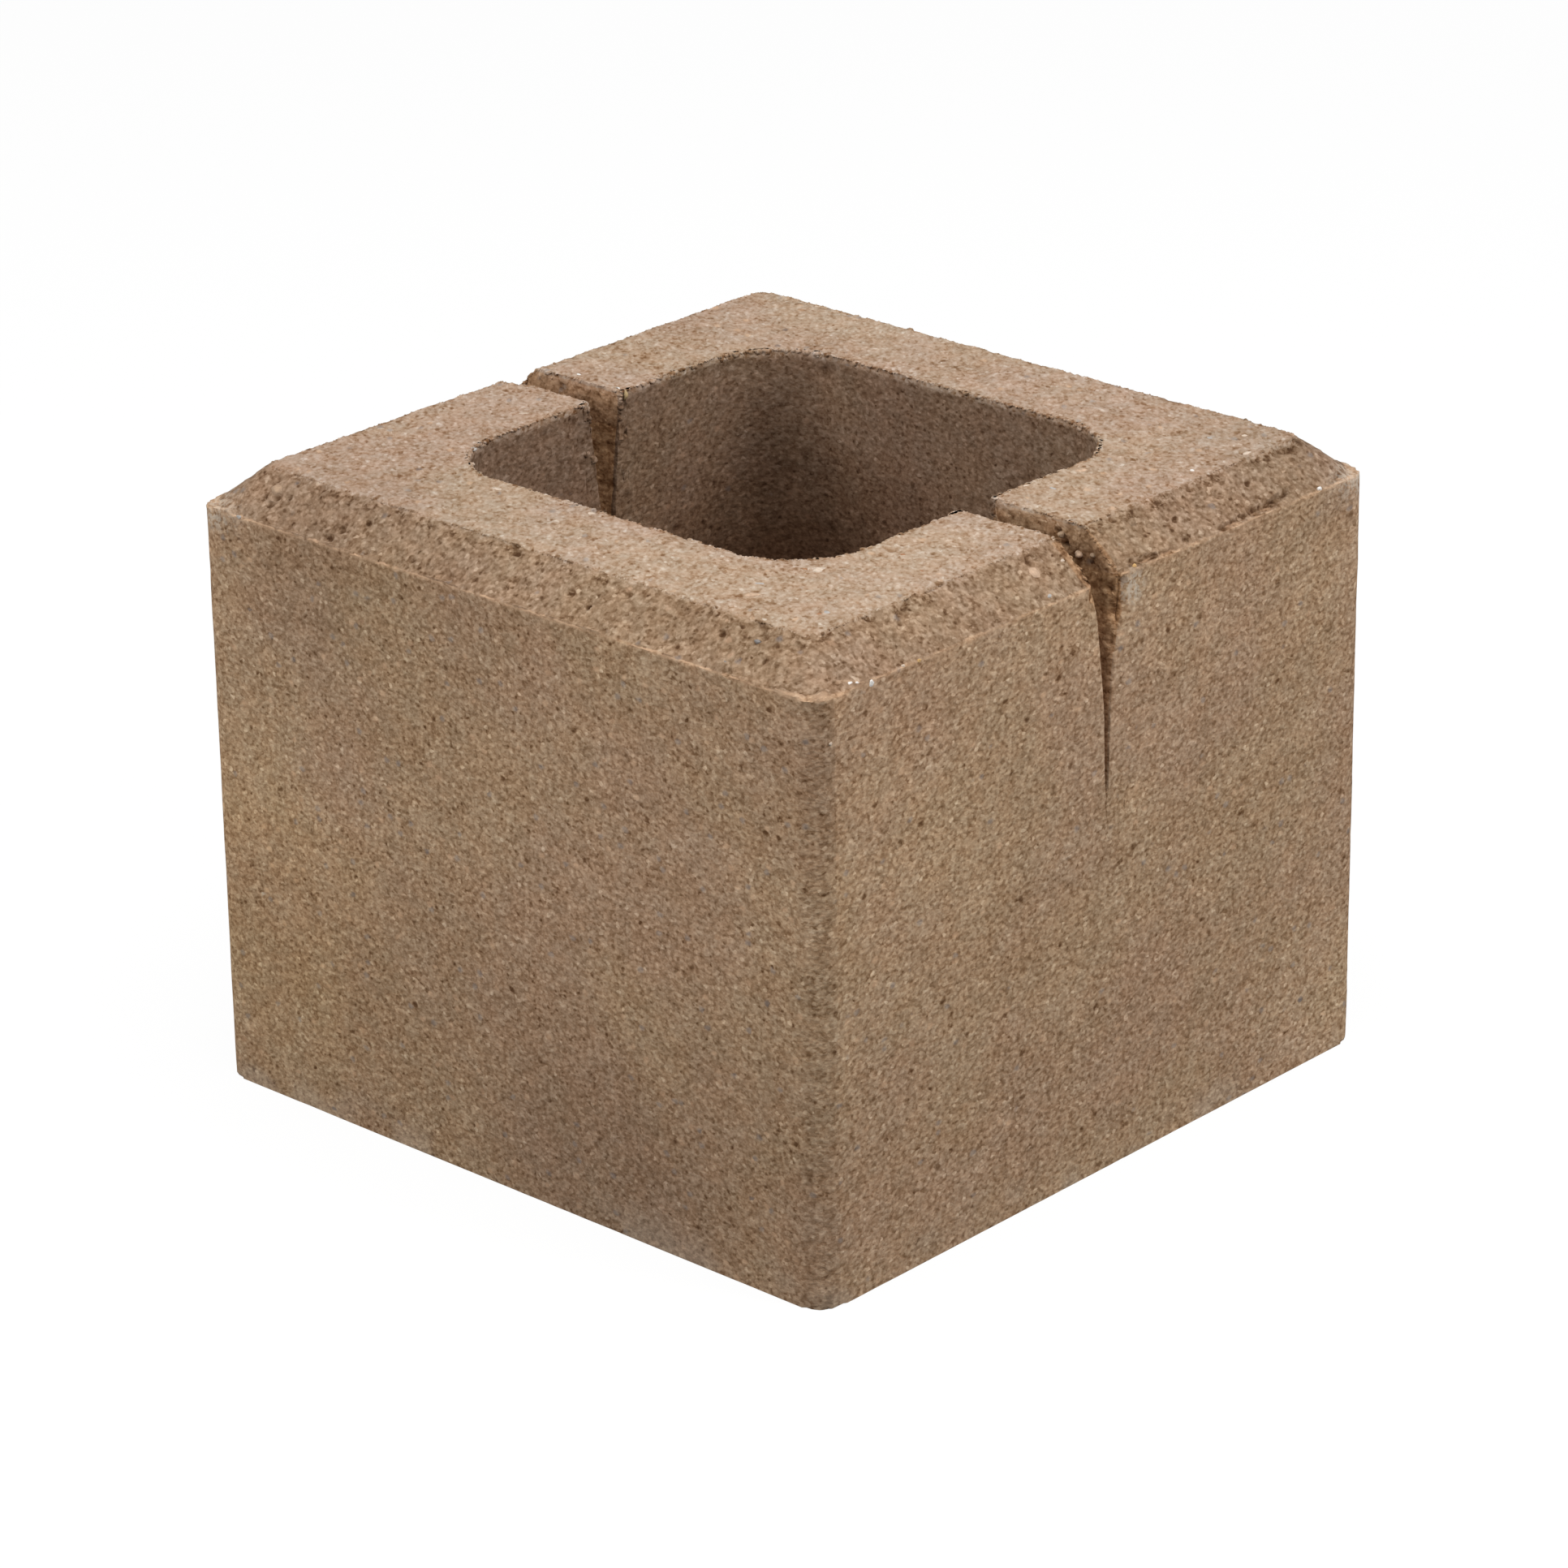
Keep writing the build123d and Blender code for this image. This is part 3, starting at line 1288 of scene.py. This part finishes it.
    def bloom(self, sheet: Sheet, colour: object) -> object:
        """Greyish bloom near the foot of the sides, on two upper corners and by the slot.

        Args:
            sheet: The material's sheet.
            colour: The colour so far.

        Returns:
            The colour with its bloom.
        """
        x, y, z = sheet.axes
        patches = sheet.band(sheet.noise(sheet.where, 20 * MM, 1.0, 0.6), 0.46, 0.66)
        foot = sheet.times(sheet.band(z, 14 * MM, 0.0), patches, self.foot_bloom_share)
        level = sheet.absolute(sheet.less(z, self.body.shoulder - 1 * MM))
        outward = sheet.band(sheet.times(x, y), (111 * MM) ** 2, (123 * MM) ** 2)
        corner = sheet.times(outward, sheet.band(level, 9 * MM, 1 * MM))
        by_slot = sheet.band(sheet.away_from(self.slot_bloom), 7.5 * MM, 2 * MM)
        mottle = sheet.band(sheet.noise(sheet.where, 2.0 * MM, 2.0, 0.7), 0.44, 0.58)
        upper = sheet.times(sheet.math("MAXIMUM", corner, by_slot), mottle, self.upper_bloom_share)
        return sheet.mix(sheet.math("MAXIMUM", foot, upper), colour, rgba(self.tints.bloom))

    def fin_line(self, sheet: Sheet, colour: object) -> object:
        """The pale orange line of squeezed-out fines at the chamfer's foot, lighter also as painted
        highlight where the fin and the top of the mould side below it face up.

        Args:
            sheet: The material's sheet.
            colour: The colour so far.

        Returns:
            The colour with the line.
        """
        body = self.body
        x, y, z = sheet.axes
        aside = sheet.math("MAXIMUM", sheet.absolute(x), sheet.absolute(y))
        turn = body.fin_turn_y
        climb = sheet.times(
            sheet.band(y, turn[0], turn[1]),
            sheet.band(y, turn[3], turn[2]),
            sheet.math("GREATER_THAN", x, body.high.x - body.fin_turn_reach),
            body.fin_turn_rise[1],
        )
        wander = sheet.swing(sheet.where, 9 * MM, 1.0)
        beads = sheet.swing(sheet.where, 2.2 * MM, 2.0, 0.6)
        level = sheet.plus(sheet.less(z, climb), (wander, 0.8 * MM), (beads, 1.1 * MM))
        off = sheet.absolute(sheet.less(level, body.shoulder + 0.1 * MM))
        broken = sheet.band(sheet.noise(sheet.where, 6 * MM, 2.0, 0.75), 0.36, 0.60)
        front = sheet.band(y, -119 * MM, -122 * MM)
        # Pale fines, with painted highlight where the fin catches the light from above.
        line = sheet.times(
            sheet.band(off, 0.42 * MM, 0.10 * MM),
            sheet.math("GREATER_THAN", aside, body.high.x - 6 * MM),
            broken,
            sheet.plus(0.32, (front, 0.26)),
        )
        # Pale fines and painted highlight along the top of the mould side, just below the chamfer.
        ledge = sheet.times(
            sheet.band(sheet.ring(body.high.x, body.foot_corner), -0.5 * MM, 0.3 * MM),
            sheet.band(z, body.shoulder - 0.9 * MM, body.shoulder - 0.3 * MM),
            sheet.plus(0.16, (broken, 0.24)),
        )
        return sheet.mix(sheet.math("MAXIMUM", line, ledge), colour, rgba(self.tints.fines))


class Tint(Enum):
    """The colours of single stones and grains."""

    PASTE = linear(168, 141, 115)
    PALE = linear(206, 187, 168)
    WHITE = linear(232, 227, 221)
    BLUISH = linear(174, 168, 162)
    SLATE = linear(128, 123, 120)
    PEACH = linear(194, 164, 138)
    RUST = linear(160, 114, 80)
    YELLOW = linear(208, 168, 112)
    STRAW = linear(172, 148, 108)


@dataclass(frozen=True)
class Stone:
    """One stone or grain that shows in the photograph, in millimetres."""

    place: tuple[float, float, float]
    size: float
    tint: Tint
    stand: float = 0.3
    slender: float = 0.8
    turn: float = 0.0


STONES = (
    Stone((76.4, -69.1, 200.0), 4.8, Tint.PALE, 0.25, 0.9),
    Stone((73.0, -71.6, 200.0), 1.6, Tint.RUST),
    Stone((71.5, -88.6, 200.0), 4.6, Tint.BLUISH, 0.15, 0.7, 0.6),
    Stone((75.5, -96.0, 200.0), 5.2, Tint.PEACH, 0.12, 0.6, 0.8),
    Stone((100.8, -93.1, 200.0), 2.4, Tint.BLUISH),
    Stone((100.0, -95.6, 200.0), 1.7, Tint.RUST, 0.2),
    Stone((56.2, -73.6, 199.6), 2.0, Tint.BLUISH),
    Stone((75.9, 22.5, 199.8), 3.4, Tint.PALE, 0.25, 0.5, 1.3),
    Stone((83.2, 25.7, 200.0), 2.6, Tint.BLUISH, 0.3, 0.6),
    Stone((79.6, 43.1, 200.0), 5.4, Tint.PEACH, 0.12, 0.6, 1.2),
    Stone((104.7, 64.4, 200.0), 1.4, Tint.WHITE, 0.3, 0.9),
    Stone((97.1, 98.7, 200.0), 3.0, Tint.PALE, 0.1, 0.6, 1.5),
    Stone((107.4, 87.3, 200.0), 3.4, Tint.PALE, 0.1, 0.5, 1.5),
    Stone((90.5, 90.3, 200.0), 3.2, Tint.BLUISH, 0.2, 0.6),
    Stone((86.5, -44.9, 200.0), 1.8, Tint.RUST, 0.3),
    Stone((99.4, -51.2, 200.0), 1.4, Tint.RUST, 0.2),
    Stone((-72.1, -59.6, 199.9), 2.2, Tint.BLUISH, 0.3),
    Stone((-40.9, -80.4, 199.9), 4.8, Tint.PALE, 0.15, 0.6, 0.4),
    Stone((-26.8, -74.8, 199.8), 2.4, Tint.PALE, 0.3, 0.5),
    Stone((-77.6, 8.6, 200.0), 1.7, Tint.WHITE, 0.5),
    Stone((-96.0, 10.3, 200.0), 1.8, Tint.WHITE, 0.3),
    Stone((-83.4, -27.3, 200.0), 3.6, Tint.PALE, 0.2, 0.35, 0.8),
    Stone((-5.6, -77.8, 200.0), 2.2, Tint.PALE, 0.4),
    Stone((116.6, -21.6, 194.7), 6.4, Tint.PEACH, 0.16, 0.8),
    Stone((116.3, -8.9, 195.0), 1.8, Tint.PALE, 0.2),
    Stone((122.9, -22.9, 189.9), 1.9, Tint.BLUISH, 0.3),
    Stone((116.9, 92.1, 194.5), 8.0, Tint.PASTE, 0.10, 0.95),
    Stone((-99.4, -115.3, 195.8), 4.6, Tint.PASTE, 0.25, 0.9),
    Stone((-106.3, -125.0, 188.0), 2.0, Tint.BLUISH, 0.3, 0.5),
    Stone((94.3, -114.9, 196.1), 2.2, Tint.SLATE, 0.2, 0.6),
    Stone((88.3, -121.8, 190.6), 3.0, Tint.SLATE, 0.1, 0.5),
    Stone((123.3, -108.8, 189.3), 1.9, Tint.WHITE, 0.5),
    Stone((123.9, -106.5, 188.8), 1.9, Tint.WHITE, 0.5),
    Stone((125.0, -101.7, 187.4), 2.5, Tint.WHITE, 0.5),
    Stone((124.6, -87.8, 188.2), 1.6, Tint.PALE, 0.4),
    Stone((124.9, -81.5, 188.0), 1.5, Tint.YELLOW, 0.5),
    Stone((124.1, 14.0, 188.7), 1.7, Tint.YELLOW, 0.5),
    Stone((125.0, -118.7, 174.5), 1.2, Tint.PALE, 0.2),
    Stone((124.4, 100.8, 188.4), 1.8, Tint.WHITE, 0.3),
    Stone((-73.8, 8.4, 198.6), 3.6, Tint.STRAW, 0.5, 0.28, 1.5),
    Stone((102.9, 6.3, 195.7), 2.4, Tint.PASTE, 0.3),
    Stone((109.9, 6.1, 191.4), 3.0, Tint.PEACH, 0.3),
    Stone((114.8, 6.6, 192.1), 2.2, Tint.PASTE, 0.2),
)


@dataclass
class Grit:
    """Small stones and crumbs that stand on the block's skin."""

    body: BlockBody
    seed: int = 7
    rim_crumbs: int = 1700
    flank_crumbs: int = 60
    crumb_size: float = 0.9 * MM
    outer_extra: float = 0.6 * MM
    inner_extra: float = 1.9 * MM
    outer_sunk: tuple[float, float] = (0.18, 0.34)
    inner_sunk: tuple[float, float] = (0.02, 0.26)
    shape_count: int = 12

    def crumbs(self) -> bpy.types.Object:
        """Makes the crumbs along the rims and in the slots' mouths.

        Returns:
            The crumbs' object.
        """
        draw = random.Random(self.seed)
        shapes = self.shapes(draw)
        bm = bmesh.new()
        tones = []
        for spots, number in ((self.body.rims, self.rim_crumbs), (self.body.flanks, self.flank_crumbs)):
            for place, normal in draw.sample(spots, min(number, len(spots))):
                size = self.crumb_size + self.extra(place) * draw.random() ** 2.5
                centre = place - normal * size * draw.uniform(*self.sunk(place))
                extent = Vector((size, size * 0.8, size * 0.72))
                self.add(bm, draw.choice(shapes), centre, normal, extent, draw.uniform(0, math.tau))
                tones.append(draw.gauss(-0.04, 0.13))
        grit = self.finished(bm, "rim_crumbs")
        own = grit.data.attributes.new(OWN_TONE, "FLOAT", "POINT")
        own.data.foreach_set("value", self.spread(grit, tones))
        return grit

    def stones(self) -> bpy.types.Object:
        """Makes the stones that the photograph shows one by one.

        Returns:
            The stones' object.
        """
        draw = random.Random(self.seed)
        shapes = self.shapes(draw)
        bm = bmesh.new()
        for stone in STONES:
            place = Vector(stone.place) * MM
            normal = self.outward(place)
            size = stone.size * MM
            centre = place - normal * size * (0.25 - stone.stand * 0.3)
            extent = Vector((size, size * stone.slender, size * 0.62))
            self.add(bm, draw.choice(shapes), centre, normal, extent, stone.turn)
        grit = self.finished(bm, "showing_stones")
        own = grit.data.attributes.new(OWN_TINT, "FLOAT_COLOR", "POINT")
        own.data.foreach_set("color", self.spread(grit, [rgba(stone.tint.value) for stone in STONES]))
        return grit

    def outer(self, place: Vector) -> bool:
        """Says whether a place is along the top's outer edge."""
        return max(abs(place.x), abs(place.y)) > self.body.top_half - 4 * MM

    def extra(self, place: Vector) -> float:
        """How much larger than the smallest a crumb may be, less along the outer edge."""
        return self.outer_extra if self.outer(place) else self.inner_extra

    def sunk(self, place: Vector) -> tuple[float, float]:
        """How deep a crumb may lie, as shares of its size, more along the outer edge."""
        return self.outer_sunk if self.outer(place) else self.inner_sunk

    def spread(self, grit: bpy.types.Object, values: list) -> np.ndarray:
        """Repeats each grain's value for all of its points, in one row."""
        each = len(grit.data.vertices) // len(values)
        return np.repeat(np.array(values, np.float32), each, axis=0).ravel()

    def outward(self, place: Vector) -> Vector:
        """Which way the block's skin faces near a place on it."""
        aside = max(abs(place.x), abs(place.y))
        side = Vector((math.copysign(1, place.x), 0, 0))
        if abs(place.y) > abs(place.x):
            side = Vector((0, math.copysign(1, place.y), 0))
        if place.z > self.body.high.z - 0.6 * MM:
            return Vector((0, 0, 1))
        if place.z < self.body.shoulder + 2.2 * MM and aside > self.body.high.x - 1 * MM:
            return side
        if aside < self.body.core_half + 1 * MM:
            return -side
        return (side * self.body.chamfer_rise + Vector((0, 0, self.body.chamfer_run))).normalized()

    def shapes(self, draw: random.Random) -> list[bpy.types.Mesh]:
        """Makes some uneven grains to copy, each of radius 1.

        Args:
            draw: The random numbers.

        Returns:
            The grains' meshes.
        """
        made = []
        for number in range(self.shape_count):
            bm = bmesh.new()
            bmesh.ops.create_icosphere(bm, subdivisions=2, radius=1.0)
            own = Vector((draw.random(), draw.random(), draw.random())) * 50
            for vert in bm.verts:
                vert.co *= 1.0 + 0.55 * noise.noise(vert.co * 0.9 + own)
            made.append(to_mesh(bm, f"grain_{number}"))
        return made

    def add(
        self,
        bm: bmesh.types.BMesh,
        shape: bpy.types.Mesh,
        centre: Vector,
        normal: Vector,
        extent: Vector,
        turn: float,
    ) -> None:
        """Adds a copy of a grain.

        Args:
            bm: The mesh that it joins.
            shape: The grain.
            centre: Its middle.
            normal: Which way the skin faces there.
            extent: Its length and width along the skin, and its thickness.
            turn: Its turn about the normal.
        """
        facing = normal.to_track_quat("Z", "Y").to_matrix().to_4x4()
        spin = Matrix.Rotation(turn, 4, "Z")
        stretch = Matrix.Diagonal((*(extent / 2), 1))
        grain = shape.copy()
        grain.transform(Matrix.Translation(centre) @ facing @ spin @ stretch)
        bm.from_mesh(grain)
        bpy.data.meshes.remove(grain)

    def finished(self, bm: bmesh.types.BMesh, name: str) -> bpy.types.Object:
        """Turns a mesh of grains into an object that keeps inside the block's box.

        Args:
            bm: The mesh.
            name: The object's name.

        Returns:
            The object.
        """
        mesh = to_mesh(bm, name)
        low, high = np.array(self.body.low), np.array(self.body.high)
        co = np.clip(read_vectors(mesh.vertices, "co"), low, high)
        mesh.vertices.foreach_set("co", co.astype(np.float32).ravel())
        mesh.polygons.foreach_set("use_smooth", [True] * len(mesh.polygons))
        return placed(name, mesh)


@dataclass(frozen=True)
class StoneFinish:
    """Sand and gravel in the colours of their own, dusted with cement."""

    mottle_size: float = 1.4 * MM
    darkest: float = 0.66
    lightest: float = 1.02
    bump: tuple[float, float] = (0.5, 0.2 * MM)
    roughness: float = 0.78
    gloss: float = 0.3

    def build(self) -> bpy.types.Material:
        """Makes the material.

        Returns:
            The stones' material.
        """
        sheet = Sheet("dusty stones")
        tint = sheet.node("Attribute", attribute_name=OWN_TINT).outputs["Color"]
        mottle = sheet.noise(sheet.where, self.mottle_size, 3.0, 0.6)
        shade = sheet.node("MapRange", Value=mottle)
        ends = {"From Min": 0.3, "From Max": 0.7, "To Min": self.darkest, "To Max": self.lightest}
        for name, value in ends.items():
            shade.inputs[name].default_value = value
        colour = sheet.scale(tint, shade.outputs["Result"])
        return sheet.surface(colour, mottle, self.bump, self.roughness, self.gloss)


def rgba(colour: tuple[float, float, float]) -> tuple[float, float, float, float]:
    """Adds an alpha of 1 to a colour."""
    return (*colour, 1.0)


@dataclass(frozen=True)
class PhotoCamera:
    """The photograph's viewpoint, worked out from the block's edges."""

    azimuth: float = 42.612
    elevation: float = 22.352
    roll: float = -0.801
    distance: float = 1.8594
    focal_length: float = 139.46
    sensor_width: float = 36.0
    target: tuple[float, float, float] = (0.0, 0.0, 0.100)
    aim_right: float = -1.5 * MM
    aim_up: float = -8.1 * MM

    def build(self) -> bpy.types.Object:
        """Places the camera and makes it the scene's.

        Returns:
            The camera's object.
        """
        azimuth, elevation = math.radians(self.azimuth), math.radians(self.elevation)
        level = math.cos(elevation)
        back = Vector((math.sin(azimuth) * level, -math.cos(azimuth) * level, math.sin(elevation)))
        right = Vector((math.cos(azimuth), math.sin(azimuth), 0.0))
        up = back.cross(right)
        turn = Matrix.Rotation(math.radians(self.roll), 3, back)
        right, up = turn @ right, turn @ up
        place = Vector(self.target) + back * self.distance
        aim = Vector(self.target) + right * self.aim_right + up * self.aim_up
        back = (place - aim).normalized()
        right = up.cross(back).normalized()
        up = back.cross(right)
        data = bpy.data.cameras.new("photo camera")
        data.lens = self.focal_length
        data.sensor_width = self.sensor_width
        camera = placed("photo camera", data)
        axes = Matrix((right, up, back)).transposed()
        camera.matrix_world = Matrix.Translation(place) @ axes.to_4x4()
        bpy.context.scene.camera = camera
        return camera


@dataclass(frozen=True)
class SoftBox:
    """One square studio lamp that looks at the block."""

    name: str
    place: tuple[float, float, float]
    size: float
    power: float
    aim: tuple[float, float, float] = (0.0, 0.0, 0.12)

    def build(self) -> bpy.types.Object:
        """Hangs the lamp.

        Returns:
            The lamp's object.
        """
        data = bpy.data.lights.new(self.name, "AREA")
        data.size = self.size
        data.energy = self.power
        lamp = placed(self.name, data)
        lamp.location = self.place
        towards = Vector(self.aim) - Vector(self.place)
        lamp.rotation_euler = towards.to_track_quat("-Z", "Y").to_euler()
        return lamp


@dataclass
class Studio:
    """A pale floor, a plain world and soft lamps."""

    floor_side: float = 12.0
    floor_bounce: float = 0.15
    floor_glow: float = 0.93
    world_level: float = 0.38
    lamps: tuple[SoftBox, ...] = (
        SoftBox("overhead", (0.35, -0.15, 1.7), 1.1, 16.2),
        SoftBox("left", (-0.6, -1.5, 0.95), 0.8, 19.6),
        SoftBox("right", (1.5, 0.55, 1.05), 0.8, 20.0),
    )

    def build(self) -> None:
        """Lays the floor, sets the world and hangs the lamps."""
        self.lay_floor()
        self.set_world()
        for lamp in self.lamps:
            lamp.build()
        bpy.context.scene.view_settings.view_transform = "Standard"

    def lay_floor(self) -> None:
        """A wide pale floor that keeps the block's shadow."""
        bm = bmesh.new()
        bmesh.ops.create_grid(bm, x_segments=1, y_segments=1, size=self.floor_side / 2)
        bmesh.ops.translate(bm, verts=bm.verts, vec=(0, 0, -0.05 * MM))
        floor = placed("floor", to_mesh(bm, "floor"))
        floor.data.materials.append(self.floor_material())

    def floor_material(self) -> bpy.types.Material:
        """Matt pale grey for the light, near white for the camera.

        Returns:
            The floor's material.
        """
        white = rgba((1.0, 1.0, 1.0))
        sheet = Sheet("pale floor")
        path = sheet.node("LightPath")
        seen = sheet.math("MAXIMUM", path.outputs["Is Camera Ray"], path.outputs["Is Glossy Ray"])
        seen = sheet.math("MAXIMUM", seen, path.outputs["Is Transmission Ray"])
        matt = sheet.node("BsdfDiffuse", Color=sheet.mix(seen, rgba((self.floor_bounce,) * 3), white))
        glow = sheet.node("Emission", Color=white, Strength=1.0)
        both = sheet.node("MixShader")
        parts = (sheet.times(seen, self.floor_glow), matt.outputs[0], glow.outputs[0])
        for index, value in enumerate(parts):
            sheet.plug(value, both.inputs[index])
        output = sheet.node("OutputMaterial")
        sheet.plug(both.outputs[0], output.inputs["Surface"])
        return sheet.material

    def set_world(self) -> None:
        """An even dim light all round, seen as white."""
        world = bpy.data.worlds.new("studio")
        world.use_nodes = True
        bpy.context.scene.world = world
        tree = world.node_tree
        background = tree.nodes["Background"]
        background.inputs["Color"].default_value = (1, 1, 1, 1)
        path = tree.nodes.new("ShaderNodeLightPath")
        level = tree.nodes.new("ShaderNodeMapRange")
        level.inputs["To Min"].default_value = self.world_level
        level.inputs["To Max"].default_value = 1.0
        tree.links.new(path.outputs["Is Camera Ray"], level.inputs["Value"])
        tree.links.new(level.outputs["Result"], background.inputs["Strength"])


def main() -> None:
    """Builds the studio, the camera and the block, and dresses the block."""
    logging.basicConfig(level=logging.INFO, format="%(name)s: %(message)s")
    Studio().build()
    PhotoCamera().build()
    body = BlockBody()
    block = body.build()
    concrete = ConcreteFinish(body).build()
    block.data.materials.append(concrete)
    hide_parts(body.node)
    grit = Grit(body)
    crumbs = grit.crumbs()
    crumbs.data.materials.append(concrete)
    stones = grit.stones()
    stones.data.materials.append(StoneFinish().build())
    for piece in (block, crumbs, stones):
        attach(piece, "root")
        LOG.info("%s: %d faces", piece.name, len(piece.data.polygons))


if __name__ == "__main__":
    main()
